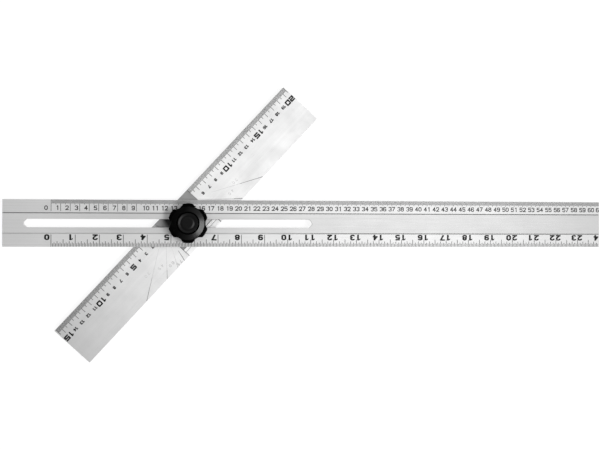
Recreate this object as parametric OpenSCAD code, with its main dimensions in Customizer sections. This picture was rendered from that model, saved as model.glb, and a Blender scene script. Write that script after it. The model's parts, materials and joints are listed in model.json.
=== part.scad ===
// Adjustable set square: a slotted rule clamped across a head by a star knob.
// The origin is on the rule's centimetre edge at its 0 mark, in the plane of its underside.
// X runs along the rule towards the growing numbers, Y out of the centimetre edge, Z up.
// The head is shown swung to the angle of the photograph. Lengths are in millimetres.

/* [Pose] */
// Place of the clamp along the rule, measured from the 0 mark
clamp_at = 146; // [20:1:270]
// Angle between the rule and the head
head_angle = 47.3; // [0:0.1:180]

/* [Rule] */
// Length of the rule from end to end
rule_l = 660.4; // [500:0.2:1000]
// Width of the rule
rule_w = 50.8; // [48:0.2:70]
// Thickness of the rule
rule_t = 4; // [3:0.5:6]
// Distance from the rule's left end to its 0 mark
zero_in = 50.8; // [30:0.2:60]
// Distance from the rule's left end to the tip of the slot
slot_in = 21.8; // [12:0.2:28]
// Length of the slot from tip to tip
slot_l = 310; // [305:1:400]
// Width of the slot
slot_w = 9; // [8.6:0.1:12]
// Radius that rounds the slot's pointed ends
tip_r = 2.8; // [1:0.1:4]
// Radius that rounds the shoulders behind those ends
shoulder_r = 1.2; // [0.4:0.1:3]
// Distance from the rule's middle line to each of its two grooves
groove_at = 11; // [9:0.5:16]
// Width of each groove
groove_w = 0.8; // [0.4:0.1:1.5]
// Depth of each groove
groove_d = 0.5; // [0.2:0.1:1]

/* [Head] */
// Length of the head
head_l = 363; // [300:1:500]
// Width of the head
head_w = 50.8; // [46:0.2:70]
// Height of the head, which is the depth of its fence
head_h = 12; // [11:0.5:20]
// Thickness of the head's top wall
top_t = 4; // [3.5:0.5:6]
// Thickness of the front leg, whose outer face is the fence
fence_t = 4; // [3:0.5:6]
// Thickness of the back leg
back_t = 3; // [2:0.5:5]
// Distance from the fence to the pivot
pivot_in = 26.5; // [22:0.5:30]
// Distance from the head's left end to the pivot
pivot_left = 182; // [120:1:240]
// Depth of the seat that the rule drops into at 90 degrees
seat_d = 1.2; // [0.5:0.1:1.5]
// Clearance on each side of the rule in its seat
seat_clear = 0.2; // [0.1:0.05:0.5]
// Distance from the fence to the first relief line in the seat's floor
relief_at = 41.5; // [39:0.5:43]
// Distance between the two relief lines
relief_gap = 3.6; // [2.5:0.1:4.5]
// Width of each relief line
relief_w = 0.8; // [0.4:0.1:1.2]
// Depth of each relief line
relief_d = 0.5; // [0.2:0.1:1]

/* [Clamp bolt and washers] */
// Thread diameter of the bolt
bolt_d = 8; // [6:0.5:8.5]
// Length of the bolt under its head
bolt_l = 20; // [18:0.5:22]
// Diameter of the bolt's domed head
bolt_head_d = 20; // [16:0.5:22]
// Height of the bolt's domed head
bolt_head_h = 4.6; // [3:0.2:5.4]
// Height of the square neck under the bolt's head
neck_h = 2.6; // [1.5:0.1:2.8]
// Clearance on each side of the square neck in the head
neck_clear = 0.1; // [0.05:0.05:0.3]
// Diameter of the steel washer
washer_d = 24; // [18:1:30]
// Thickness of the steel washer
washer_t = 2; // [1:0.2:3]
// Diameter of the plastic washer
thrust_d = 19; // [16:1:24]
// Thickness of the plastic washer
thrust_t = 1; // [0.5:0.1:2]
// Clearance round the bolt in both washers
washer_clear = 0.2; // [0.1:0.05:0.5]

/* [Knob] */
// Diameter of the knob over its lobes
knob_d = 44; // [40:0.5:60]
// Height of the knob's lobed part
lobe_h = 14; // [12:0.5:20]
// Number of lobes
lobe_n = 6; // [5:1:8]
// Depth of the hollows between the lobes
hollow_d = 3; // [2:0.1:4.5]
// Radius of the hollows between the lobes
hollow_r = 7; // [6:0.1:10]
// Diameter of the boss under the knob
boss_d = 20; // [17:0.5:24]
// Height of the boss under the knob
boss_h = 5; // [3:0.5:10]
// Diameter of the raised dome on the knob
dome_d = 35.4; // [32:0.2:38]
// Height of the raised dome above the lobes' shoulder
dome_h = 3; // [2:0.1:4]
// Width of the dome's sloping side, seen from above
dome_run = 5; // [3:0.1:5.5]
// Diameter of the cap in the knob
cap_d = 21.6; // [18:0.2:24]
// Depth of the cap in the knob
cap_h = 4; // [3:0.2:5]
// Gap round the cap
cap_gap = 0.6; // [0.3:0.1:1]
// Outer diameter of the brass insert
insert_d = 12; // [10.5:0.5:14]
// Length of the brass insert
insert_l = 11; // [10:0.5:12]
// Clearance between the bolt's thread and the insert's bore
thread_clear = 0.05; // [0.02:0.01:0.1]
// Diameter of the raised disc in the middle of the cap
disc_d = 14; // [11:0.2:15]
// Width of the rim round the cap
rim_w = 1.6; // [1:0.1:2]
// Depth of the channel between the cap's disc and its rim
channel_d = 0.9; // [0.4:0.1:1.5]

/* [Hidden] */
$fn = 96;
eps = 0.5;

rule_mid = -rule_w / 2;
slot_r = slot_w / 2;
slot_x = slot_in - zero_in;
shoulder_x = slot_r - (tip_r - shoulder_r) * (sqrt(2) - 1);
head_back = head_w - pivot_in;
seat_w = rule_w + 2 * seat_clear;
web_bottom = -top_t;
washer_z = rule_t;
thrust_z = washer_z + washer_t;
knob_z = thrust_z + thrust_t;
knob_h = boss_h + lobe_h;
lobe_z = knob_z + boss_h;
knob_top = knob_z + knob_h;
knob_r = knob_d / 2;
dome_r = dome_d / 2;
shoulder_z = lobe_h - dome_h;
lobe_edge_r = 1.5;
lobe_shoulder_r = 3;
lip = 0.5;
cap_r = cap_d / 2;
cap_pocket_r = cap_r + cap_gap;
cap_z = knob_top - cap_h;
bolt_r = bolt_d / 2;
bolt_head_r = bolt_head_d / 2;
bolt_rim = 0.6;
bolt_chamfer = 1;
hole_r = bolt_r + washer_clear;

// Puts its children on the pivot, turned with the head
module on_head() {
    translate([clamp_at, rule_mid, 0])
        rotate([0, 0, head_angle])
            children();
}

// Puts its children on the pivot, square to the rule
module on_clamp(z) {
    translate([clamp_at, rule_mid, z])
        children();
}

// A flat ring
module ring(outer_r, inner_r, h) {
    difference() {
        cylinder(r = outer_r, h = h);
        translate([0, 0, -eps])
            cylinder(r = inner_r, h = h + 2 * eps);
    }
}

// The slot's left end, a right-angled point with a rounded tip and shoulders
function slot_end() = [
    for (a = [90:15:135])
        [shoulder_x + shoulder_r * cos(a), slot_r - shoulder_r + shoulder_r * sin(a)],
    for (a = [135:15:225])
        [tip_r + tip_r * cos(a), tip_r * sin(a)],
    for (a = [225:15:270])
        [shoulder_x + shoulder_r * cos(a), shoulder_r - slot_r + shoulder_r * sin(a)]
];

// The slot with the same end at both sides, cut right through the rule
module slot_cut() {
    translate([slot_x, rule_mid, -eps])
        linear_extrude(rule_t + 2 * eps)
            polygon(concat(slot_end(), [for (p = slot_end()) [slot_l - p[0], -p[1]]]));
}

module rule() {
    color("silver")
        difference() {
            translate([-zero_in, -rule_w, 0])
                cube([rule_l, rule_w, rule_t]);
            slot_cut();
            for (side = [-1, 1])
                translate([-zero_in - eps, rule_mid + side * groove_at - groove_w / 2,
                           rule_t - groove_d])
                    cube([rule_l + 2 * eps, groove_w, groove_d + eps]);
        }
}

// Cross-section of the head, with the fence at the right and the top wall at y = 0
module head_section() {
    difference() {
        translate([-head_back, -head_h])
            square([head_w, head_h]);
        translate([back_t - head_back, -head_h - eps])
            square([head_w - back_t - fence_t, head_h - top_t + eps]);
    }
}

module head() {
    color("lightgray")
        on_head()
            difference() {
                translate([-pivot_left, 0, 0])
                    rotate([90, 0, 90])
                        linear_extrude(head_l)
                            head_section();
                translate([-seat_w / 2, -head_back - eps, -seat_d])
                    cube([seat_w, head_w + 2 * eps, seat_d + eps]);
                for (line = [0, 1])
                    translate([-seat_w / 2, pivot_in - relief_at - line * relief_gap - relief_w,
                               -seat_d - relief_d])
                        cube([seat_w, relief_w, relief_d + eps]);
                translate([0, 0, -top_t / 2])
                    cube([bolt_d + 2 * neck_clear, bolt_d + 2 * neck_clear, top_t + 2 * eps],
                         center = true);
            }
}

module clamp_bolt() {
    color("gainsboro")
        on_head()
            translate([0, 0, web_bottom]) {
                rotate_extrude()
                    polygon([
                        for (a = [90:-10:10])
                            [bolt_head_r * cos(a), -bolt_rim - (bolt_head_h - bolt_rim) * sin(a)],
                        [bolt_head_r, -bolt_rim],
                        [bolt_head_r, 0],
                        [0, 0]
                    ]);
                translate([0, 0, neck_h / 2])
                    cube([bolt_d, bolt_d, neck_h], center = true);
                rotate_extrude()
                    polygon([
                        [0, 0],
                        [bolt_r, 0],
                        [bolt_r, bolt_l - bolt_chamfer],
                        [bolt_r - bolt_chamfer, bolt_l],
                        [0, bolt_l]
                    ]);
            }
}

module flat_washer() {
    color("darkgray")
        on_clamp(washer_z)
            ring(washer_d / 2, hole_r, washer_t);
}

module thrust_washer() {
    color("white")
        on_clamp(thrust_z)
            ring(thrust_d / 2, hole_r, thrust_t);
}

// Half outline of the knob's lobed part, from its underside to the raised dome
function knob_profile() = [
    [0, 0],
    for (a = [-90:30:0])
        [knob_r - lobe_edge_r + lobe_edge_r * cos(a), lobe_edge_r + lobe_edge_r * sin(a)],
    for (a = [0:15:60])
        [knob_r - lobe_shoulder_r + lobe_shoulder_r * cos(a),
         shoulder_z - lobe_shoulder_r + lobe_shoulder_r * sin(a)],
    for (a = [0:15:75])
        [dome_r - dome_run + dome_run * cos(a), shoulder_z + dome_h * sin(a)],
    [cap_pocket_r + lip, lobe_h],
    [cap_pocket_r, lobe_h - lip],
    [0, lobe_h - lip]
];

module knob_body() {
    color("black")
        on_clamp(0)
            difference() {
                union() {
                    translate([0, 0, knob_z])
                        cylinder(r = boss_d / 2, h = boss_h + eps);
                    translate([0, 0, lobe_z])
                        difference() {
                            rotate_extrude()
                                polygon(knob_profile());
                            for (i = [0:lobe_n - 1])
                                rotate([0, 0, i * 360 / lobe_n])
                                    translate([knob_r - hollow_d + hollow_r, 0, -eps])
                                        cylinder(r = hollow_r, h = lobe_h + 2 * eps);
                        }
                }
                translate([0, 0, cap_z])
                    cylinder(r = cap_pocket_r, h = cap_h + eps);
                translate([0, 0, knob_z - eps])
                    cylinder(r = insert_d / 2, h = insert_l + eps);
                translate([0, 0, knob_z])
                    cylinder(r = hole_r, h = knob_h);
            }
}

module knob_insert() {
    color("goldenrod")
        on_clamp(knob_z)
            ring(insert_d / 2, bolt_r + thread_clear, insert_l);
}

// The cap has a raised disc in the middle, a channel round it and a rim
module knob_cap() {
    color("black")
        on_clamp(cap_z)
            rotate_extrude()
                polygon([
                    [0, 0],
                    [cap_r, 0],
                    [cap_r, cap_h - lip],
                    [cap_r - lip, cap_h],
                    [cap_r - rim_w, cap_h],
                    [cap_r - rim_w - channel_d, cap_h - channel_d],
                    [disc_d / 2 + channel_d, cap_h - channel_d],
                    [disc_d / 2, cap_h],
                    [0, cap_h]
                ]);
}

rule();
head();
clamp_bolt();
flat_washer();
thrust_washer();
knob_body();
knob_insert();
knob_cap();
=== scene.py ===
# %% [markdown]
# # Adjustable set square
# A long slotted rule lies across a shorter head. One bolt goes up through both, and a star knob
# clamps them at any angle and at any place along the slot. This notebook dresses the packed
# model: it gives the metal its brushing, prints the scales and turns the small clamp pieces.
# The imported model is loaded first, because every piece below is placed by it.

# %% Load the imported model
import json
import math

import bmesh
import bpy
from mathutils import Matrix, Vector


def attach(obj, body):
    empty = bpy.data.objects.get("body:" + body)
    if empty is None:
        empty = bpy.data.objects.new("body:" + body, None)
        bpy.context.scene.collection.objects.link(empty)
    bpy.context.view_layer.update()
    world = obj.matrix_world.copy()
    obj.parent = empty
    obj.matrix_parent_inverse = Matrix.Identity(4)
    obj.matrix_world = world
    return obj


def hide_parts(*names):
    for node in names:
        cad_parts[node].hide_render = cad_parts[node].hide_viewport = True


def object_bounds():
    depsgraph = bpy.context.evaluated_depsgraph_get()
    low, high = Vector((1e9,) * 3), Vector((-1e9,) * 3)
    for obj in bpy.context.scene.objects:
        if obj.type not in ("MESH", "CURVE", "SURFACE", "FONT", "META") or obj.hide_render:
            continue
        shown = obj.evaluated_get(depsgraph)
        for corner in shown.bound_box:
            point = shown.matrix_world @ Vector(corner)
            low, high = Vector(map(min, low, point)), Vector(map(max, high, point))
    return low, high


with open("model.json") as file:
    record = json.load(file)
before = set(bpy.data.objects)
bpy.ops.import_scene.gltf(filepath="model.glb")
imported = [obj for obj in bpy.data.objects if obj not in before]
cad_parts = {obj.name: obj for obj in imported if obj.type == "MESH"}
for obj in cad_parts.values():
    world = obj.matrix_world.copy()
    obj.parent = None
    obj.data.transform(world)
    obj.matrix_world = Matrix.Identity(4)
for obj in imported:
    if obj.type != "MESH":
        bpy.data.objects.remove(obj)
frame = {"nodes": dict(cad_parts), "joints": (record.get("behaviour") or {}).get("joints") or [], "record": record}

cad_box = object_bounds()

# %% [markdown]
# Drawing is easiest in millimetres, in the frame of the piece that is being drawn. So there are
# three frames: the rule's own, one on the clamp, and one on the clamp that is turned with the
# head. Each of them also turns millimetres into metres. The places come from the joint and the
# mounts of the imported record, so the looks follow the model if its sizes change.

# %% Frames and sizes
MM = 0.001
CLOSE = 0.01

joints = {joint["name"]: joint for joint in frame["joints"]}
mounts = {mount["name"]: mount for mount in frame["record"]["mounts"]}
pivot = Vector(joints["head_swing"]["pos_m"])
fence_axis = Vector(mounts["fence_face"]["axis"])
head_angle = math.atan2(-fence_axis.x, fence_axis.y)

rule_frame = Matrix.Scale(MM, 4)
clamp_frame = Matrix.Translation(pivot) @ Matrix.Scale(MM, 4)
head_frame = Matrix.Translation(pivot) @ Matrix.Rotation(head_angle, 4, "Z") @ Matrix.Scale(MM, 4)


def local_box(name, place):
    """Lowest and highest corner of a node in one of the frames, in millimetres."""
    inverse = place.inverted()
    points = [inverse @ vertex.co for vertex in frame["nodes"][name].data.vertices]
    low = Vector([min(point[k] for point in points) for k in range(3)])
    high = Vector([max(point[k] for point in points) for k in range(3)])
    return low, high


rule_low, rule_high = local_box("rule", rule_frame)
head_low, head_high = local_box("head", head_frame)
rule_w = rule_high.y - rule_low.y
rule_mid = (rule_low.y + rule_high.y) / 2
print(f"head turned {math.degrees(head_angle):.1f} degrees, rule {rule_w:.1f} mm wide")

# %% [markdown]
# The picture is taken from straight above, a little to the left of the middle, from 0.9 m. The
# camera looks almost down, so its upright direction can't be the world's Z. It is built from
# three axes instead: forward, right, and up, with a small roll.

# %% Camera
CAMERA_AT = Vector((181.6, -34.6, 911.0)) * MM
CAMERA_LOOKS_AT = Vector((267.5, -26.8, 4.0)) * MM
CAMERA_ROLL = math.radians(0.11)
CAMERA_LENS = 49.69

forward = (CAMERA_LOOKS_AT - CAMERA_AT).normalized()
right = forward.cross(Vector((0, 1, 0))).normalized()
axes = Matrix((right, right.cross(forward), -forward)).transposed().to_4x4()
camera = bpy.data.objects.new("camera", bpy.data.cameras.new("camera"))
camera.data.lens = CAMERA_LENS
camera.data.clip_start = 0.01
camera.matrix_world = (Matrix.Translation(CAMERA_AT) @ axes
                       @ Matrix.Rotation(CAMERA_ROLL, 4, "Z"))
bpy.context.scene.collection.objects.link(camera)
bpy.context.scene.camera = camera
print(f"camera {CAMERA_AT.z:.2f} m above the rule")

# %% [markdown]
# Shader and geometry trees are long when every node is written out. A few small helpers make
# the nodes and link or fill their inputs. Each finds its tree by a socket that it is given, so
# what follows reads as a recipe: times, plus, remap, blend.

# %% Helpers for node trees
def adjust(thing, **values):
    """Sets several attributes of a thing, and returns it."""
    for name, value in values.items():
        setattr(thing, name, value)
    return thing


def is_socket(value):
    return isinstance(value, bpy.types.NodeSocket)


def node(tree, kind, inputs=None, **options):
    """A new node's outputs. An input that gets a socket is linked, and any other value is set."""
    made = adjust(tree.nodes.new(kind), **options)
    for name, value in (inputs or {}).items():
        if is_socket(value):
            tree.links.new(value, made.inputs[name])
        else:
            made.inputs[name].default_value = value
    return made.outputs


def maths(operation, *values):
    """A Math node, in the tree of the first socket among its values."""
    tree = next(value.id_data for value in values if is_socket(value))
    return node(tree, "ShaderNodeMath", dict(enumerate(values)), operation=operation)[0]


def times(first, *others):
    for other in others:
        first = maths("MULTIPLY", first, other)
    return first


def plus(first, *others):
    for other in others:
        first = maths("ADD", first, other)
    return first


def vector_maths(operation, *vectors, output="Vector"):
    return node(vectors[0].id_data, "ShaderNodeVectorMath", dict(enumerate(vectors)),
                operation=operation)[output]


def xyz(vector):
    """The three parts of a vector, by name."""
    return node(vector.id_data, "ShaderNodeSeparateXYZ", {0: vector})


def combine(x, y=0.0, z=0.0):
    """The vector of these parts."""
    return node(x.id_data, "ShaderNodeCombineXYZ", {0: x, 1: y, 2: z})[0]


def remap(value, low, high, to_low=0.0, to_high=1.0):
    """Stretches low..high to to_low..to_high, and stops at both ends."""
    return node(value.id_data, "ShaderNodeMapRange", {"Value": value, "From Min": low,
                "From Max": high, "To Min": to_low, "To Max": to_high})["Result"]


def fall(value, low, high):
    """1 below low, 0 above high, and a slope in between."""
    return remap(value, low, high, 1.0, 0.0)


def blend(factor, first, second):
    """A colour between two others. Each may be a socket, a grey level or three numbers."""
    colours = [c if is_socket(c) else (*c, 1) if isinstance(c, tuple) else (c, c, c, 1)
               for c in (first, second)]
    return node(factor.id_data, "ShaderNodeMix", {0: factor, 6: colours[0], 7: colours[1]},
                data_type="RGBA")[2]


def layers(colour, *coats):
    """Lays coats over a colour, one after the other. A coat is its mask, its share and its grey."""
    for mask, share, grey in coats:
        colour = blend(times(mask, share), colour, grey)
    return colour


def noise(vector, scale, detail=3.0, roughness=0.5):
    return node(vector.id_data, "ShaderNodeTexNoise", {"Vector": vector, "Scale": scale,
                "Detail": detail, "Roughness": roughness})["Fac"]


def group_tree(name, kind, inputs, outputs):
    """A node group with named inputs and outputs, given as name: socket type."""
    tree = bpy.data.node_groups.new(name, kind)
    for in_out, sockets in (("INPUT", inputs), ("OUTPUT", outputs)):
        for label, socket_type in sockets.items():
            tree.interface.new_socket(label, in_out=in_out, socket_type="NodeSocket" + socket_type)
    return tree, node(tree, "NodeGroupInput"), tree.nodes.new("NodeGroupOutput").inputs


# %% [markdown]
# Brushing and extruding both leave fine streaks along the metal. Noise that is stretched a
# long way in one direction gives them, in three widths: hair lines, streaks of a few tenths of a
# millimetre and broad bands. The same group serves the rule, the head and the inks, so it is a
# shader group with its own stretch inputs.

# %% Shader group: brushed streaks
STREAK_SCALES = {"Hair": 2.5, "Streak": 0.6, "Band": 0.09}
streak_tree, given, result = group_tree(
    "brushed_streaks", "ShaderNodeTree",
    {"Vector": "Vector", "Along": "Float", "Across": "Float"},
    dict.fromkeys(STREAK_SCALES, "Float"))
stretch = combine(given["Along"], given["Across"], given["Across"])
stretched = vector_maths("MULTIPLY", given["Vector"], stretch)
for label, scale in STREAK_SCALES.items():
    tone = noise(stretched, scale, detail=4.0, roughness=0.65)
    streak_tree.links.new(remap(tone, 0.3, 0.7), result[label])
print("streak widths:", len(STREAK_SCALES))

# %% [markdown]
# A tool that lives in a bag gets fine scratches that lie any way, and cloudy finger marks. The
# scratches are thin stretched noise, cut off high so that only its peaks stay, and broken up by
# a second noise. Two turned layers are enough for the eye to see them lie at random.

# %% Shader group: handling marks
handling_tree, given, result = group_tree(
    "handling_marks", "ShaderNodeTree",
    {"Vector": "Vector", "Density": "Float"}, {"Scratch": "Float", "Smudge": "Float"})
scratches = 0.0
for turn, offset in ((0.5, 3.0), (-0.9, 41.0)):
    turned = node(handling_tree, "ShaderNodeMapping", {"Vector": given["Vector"],
                  "Location": (offset, offset, 0), "Rotation": (0, 0, turn),
                  "Scale": (0.02, 1.1, 0.4)})[0]
    peak = plus(noise(turned, 2.2, 2.0), times(given["Density"], 0.08))
    broken = remap(noise(given["Vector"], 0.05 + turn * 0.01), 0.45, 0.6)
    scratches = maths("MAXIMUM", times(remap(peak, 0.72, 0.76), broken), scratches)
handling_tree.links.new(scratches, result["Scratch"])
cloud = noise(given["Vector"], 0.035, detail=5.0, roughness=0.6)
handling_tree.links.new(remap(cloud, 0.35, 0.68), result["Smudge"])

# %% [markdown]
# A material starts with the piece's own frame, so that its streaks run along the piece and its
# zones can be named in millimetres. The Mapping node does that from Object coordinates. Then
# comes the Principled shader, with the numbers that are the same all over set on it.

# %% Helpers for materials
def new_material(name, place, **plain):
    """A material, its Principled node and the coordinates in that frame's millimetres."""
    material = bpy.data.materials.new(name)
    material.use_nodes = True
    tree = material.node_tree
    shader = next(n for n in tree.nodes if n.type == "BSDF_PRINCIPLED")
    for label, value in plain.items():
        shader.inputs[label.replace("_", " ")].default_value = value
    location, rotation, scale = place.decompose()
    objects = node(tree, "ShaderNodeTexCoord")["Object"]
    local = node(tree, "ShaderNodeMapping", {"Vector": objects, "Location": location,
                 "Rotation": rotation.to_euler(), "Scale": scale}, vector_type="TEXTURE")[0]
    return material, shader, local


def placed_group(group, **inputs):
    """A shader group inside a material, with these inputs linked or set."""
    return node(inputs["Vector"].id_data, "ShaderNodeGroup", inputs, node_tree=group)


def wire(shader, height, depth, strength=0.5, **inputs):
    """Links what changes over the surface to the shader. The bump's depth is in millimetres."""
    tree = shader.id_data
    inputs["Normal"] = node(tree, "ShaderNodeBump", {"Height": height, "Distance": depth * MM,
                            "Strength": strength})[0]
    for label, socket in inputs.items():
        tree.links.new(socket, shader.inputs[label.replace("_", " ")])


# %% [markdown]
# The rule is drawn aluminium, brushed along its length and clear anodised. Its two scale zones
# are a little lighter than its middle, because they were rubbed down before printing. The two
# grooves are darker inside, less so on the inch side's stretch nearest the 0. The zones start at
# the 0 mark and are cut out by position. The end with the 0 is painted lighter, as painted light,
# and the far end is painted darker, as painted shade.

# %% Material: rule aluminium
GROOVE_AT = 11.0
GROOVE_W = 0.8
PAINTED_LIGHT_END = (-10.0, 75.0)
PAINTED_SHADE_END = (480.0, 600.0)
PALER_GROOVE_STRETCH = (230.0, 330.0)


def rule_aluminium():
    material, shader, local = new_material("rule_aluminium", rule_frame, Metallic=0.85)
    axes = xyz(local)
    streaks = placed_group(streak_tree, Vector=local, Along=0.012, Across=3.0)
    marks = placed_group(handling_tree, Vector=local, Density=0.4)
    top = rule_high.z
    from_mid = maths("ABSOLUTE", plus(axes["Y"], -rule_mid))
    zone = times(remap(from_mid, GROOVE_AT, GROOVE_AT + GROOVE_W), remap(axes["X"], -0.3, 0.0),
                 remap(axes["Z"], top - 0.3, top - 0.1))
    from_groove = maths("ABSOLUTE", plus(from_mid, -GROOVE_AT))
    inch_side = maths("LESS_THAN", axes["Y"], rule_mid)
    # the grooves are darker inside, less so on the inch side's stretch nearest the 0
    paler_stretch = times(fall(axes["X"], *PALER_GROOVE_STRETCH), inch_side, 0.65)
    groove = times(fall(axes["Z"], top - 0.45, top - 0.2),
                   fall(from_groove, GROOVE_W, GROOVE_W + 0.1), maths("SUBTRACT", 1.0, paler_stretch))
    colour = layers(blend(streaks["Band"], 0.69, 0.755),
                    # painted light makes the end with the 0 lighter, and painted shade makes the far end darker
                    (fall(axes["X"], *PAINTED_LIGHT_END), 0.65, 0.93),
                    (remap(axes["X"], *PAINTED_SHADE_END), 0.4, 0.60),
                    (streaks["Streak"], 0.35, 0.60),
                    (zone, 0.35, 0.92),
                    (marks["Smudge"], 0.04, 0.55),
                    (marks["Scratch"], 0.5, 0.90),
                    (groove, 0.8, 0.08))
    rough = plus(times(streaks["Hair"], 0.10), times(marks["Smudge"], 0.02), 0.58)
    height = plus(streaks["Hair"], times(marks["Scratch"], -0.8))
    wire(shader, height, 0.006, Base_Color=colour, Roughness=rough)
    return material


rule_metal = rule_aluminium()

# %% [markdown]
# The head is an extrusion with a finer, satin skin, so it is lighter and softer than the rule.
# Its seat was milled across after anodising. The cutter left shallow arcs on the wide part of the
# floor, whose grey is partly the milled finish and partly painted shade. The strip behind the two
# relief lines is painted near white and made less metallic, a painted reflection. On one side of
# the bolt the floor carries the knob's painted shadow, and on the other side a painted highlight.
# Both relief lines are darker inside, the first more than the second, and the seat's corners carry
# painted shade. Towards its end at negative x the head is painted darker, as painted shade.

# %% Material: head aluminium
SEAT_HALF = 25.6
SEAT_TOP = -0.3
RELIEF_Y = -15.0
CUTTER_R = 30.0
CUTTER_STEP = 0.9
KNOB_SHADOW_AT = (6.0, 12.0, 0.0)
KNOB_SHADOW_R = 24.5
KNOB_SHADOW_FADE = (-8.0, -3.0)
HIGHLIGHT_X = (6.0, 12.0)
HIGHLIGHT_Y = (-8.0, -4.0)
PAINTED_SHADE_LEFT = (-190.0, -55.0)


def seat_floor(axes):
    """The tone of the seat's floor, its height, and the mask of its wide part."""
    bend = maths("DIVIDE", maths("POWER", axes["X"], 2.0), 2 * CUTTER_R)
    turns = maths("DIVIDE", plus(axes["Y"], bend), CUTTER_STEP)
    cutter = times(maths("PINGPONG", turns, 0.5), 2.0)
    wide_part = remap(axes["Y"], RELIEF_Y - 0.2, RELIEF_Y + 0.2)
    # painted highlight on one side of the bolt; the milled grey is partly the finish and partly painted shade
    seat_highlight = times(remap(axes["X"], *HIGHLIGHT_X), fall(axes["Y"], *HIGHLIGHT_Y))
    milled_shade_and_highlight = blend(seat_highlight, blend(cutter, 0.42, 0.50), 0.80)
    # both relief lines are darker inside, the first more than the second
    relief_dark = times(remap(axes["Y"], RELIEF_Y - 3.0, RELIEF_Y - 1.0, 0.4, 0.8),
                 fall(axes["Z"], -1.5, -1.3))
    # painted shadow of the knob on the seat's floor, on one side of the bolt
    from_knob_shadow = vector_maths("DISTANCE", combine(axes["X"], axes["Y"]), KNOB_SHADOW_AT, output="Value")
    knob_shadow = times(fall(from_knob_shadow, KNOB_SHADOW_R - 2.5, KNOB_SHADOW_R + 2.0), fall(axes["X"], *KNOB_SHADOW_FADE))
    # painted shade along the seat's wall at negative x, and in its far corner behind the relief lines
    far_corner = times(remap(axes["X"], SEAT_HALF - 0.9, SEAT_HALF - 0.7),
                       fall(axes["Y"], RELIEF_Y - 3.0, RELIEF_Y - 2.0))
    corner = maths("MAXIMUM", fall(axes["X"], 0.5 - SEAT_HALF, 0.7 - SEAT_HALF), far_corner)
    # painted reflection: the strip behind the relief lines is near white
    tone = layers(blend(wide_part, 0.97, milled_shade_and_highlight), (relief_dark, 1.0, 0.12), (knob_shadow, 0.9, 0.02),
                  (corner, 1.0, 0.20))
    return tone, times(cutter, 2.0), wide_part


def head_aluminium():
    material, shader, local = new_material("head_aluminium", head_frame, Metallic=0.85)
    axes = xyz(local)
    streaks = placed_group(streak_tree, Vector=local, Along=0.015, Across=2.4)
    marks = placed_group(handling_tree, Vector=local, Density=0.7)
    floor_tone, floor_height, wide_part = seat_floor(axes)
    in_seat = maths("LESS_THAN", maths("ABSOLUTE", axes["X"]), SEAT_HALF + 0.05)
    seat = times(in_seat, remap(axes["Z"], -4.0, -3.6), fall(axes["Z"], SEAT_TOP - 0.2, SEAT_TOP))
    strip = times(seat, maths("SUBTRACT", 1.0, wide_part))
    colour = layers(blend(streaks["Band"], 0.91, 0.97),
                    (streaks["Streak"], 0.12, 0.76),
                    (marks["Smudge"], 0.20, 0.70),
                    # painted shade: the head is darker towards its end at negative x
                    (fall(axes["X"], *PAINTED_SHADE_LEFT), 0.5, 0.50),
                    (marks["Scratch"], 0.5, 0.60),
                    (seat, 1.0, floor_tone))
    rough = plus(times(streaks["Hair"], 0.06), times(marks["Smudge"], 0.08), times(seat, 0.12), 0.58)
    height = plus(streaks["Hair"], times(marks["Scratch"], -0.8), times(floor_height, seat))
    # painted reflection: the strip's Metallic drops to 0.25, so that it shows near white
    wire(shader, height, 0.005, Base_Color=colour, Roughness=rough,
         Metallic=remap(strip, 0.0, 1.0, 0.85, 0.25))
    return material


head_metal = head_aluminium()

# %% [markdown]
# The scales are printed in black ink. Ink on brushed metal is never one even black: the brushing
# shows through it where it is thin. The angle lines on the head are engraved, and fade away from
# the edge.

# %% Materials: inks
def ink(name, place):
    material, shader, local = new_material(name, place, Specular_IOR_Level=0.2)
    streaks = placed_group(streak_tree, Vector=local, Along=0.05, Across=5.0)
    worn = remap(noise(local, 1.3, 5.0, 0.7), 0.45, 0.75)
    wire(shader, worn, 0.004, Base_Color=blend(times(worn, streaks["Hair"]), 0.002, 0.025),
         Roughness=remap(streaks["Streak"], 0.0, 1.0, 0.38, 0.55))
    return material


def engraving(name, tone, faded):
    material, shader, local = new_material(name, head_frame, Metallic=0.3)
    fade = remap(xyz(local)["Y"], head_low.y, head_low.y + 32.0)
    grain = remap(noise(local, 2.0, 4.0), 0.3, 0.7)
    wire(shader, grain, 0.004, Base_Color=blend(fade, blend(grain, tone, tone + 0.12), faded),
         Roughness=remap(grain, 0.0, 1.0, 0.4, 0.55))
    return material


rule_ink = ink("rule_ink", rule_frame)
head_ink = ink("head_ink", head_frame)
line_engraving = engraving("engraved_line", 0.03, 0.70)
faint_engraving = engraving("engraved_digits", 0.30, 0.80)

# %% [markdown]
# The knob and its cap are moulded from black glass-filled plastic. The mould was lightly
# spark-eroded, so the skin is a fine even grain. Fingers polish the tips of the lobes. The dome's
# slopes get a weak coat. Making it strong on the side that faces the soft box and weak on the
# other side is a painted highlight. A little dust settles on top.

# %% Materials: black plastic
LEVEL_SKIN = (0.985, 0.998)
DOME_RIM = (17.6, 18.2)
KEY_BOX_SIDE = (-9.0, 9.0)


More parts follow.
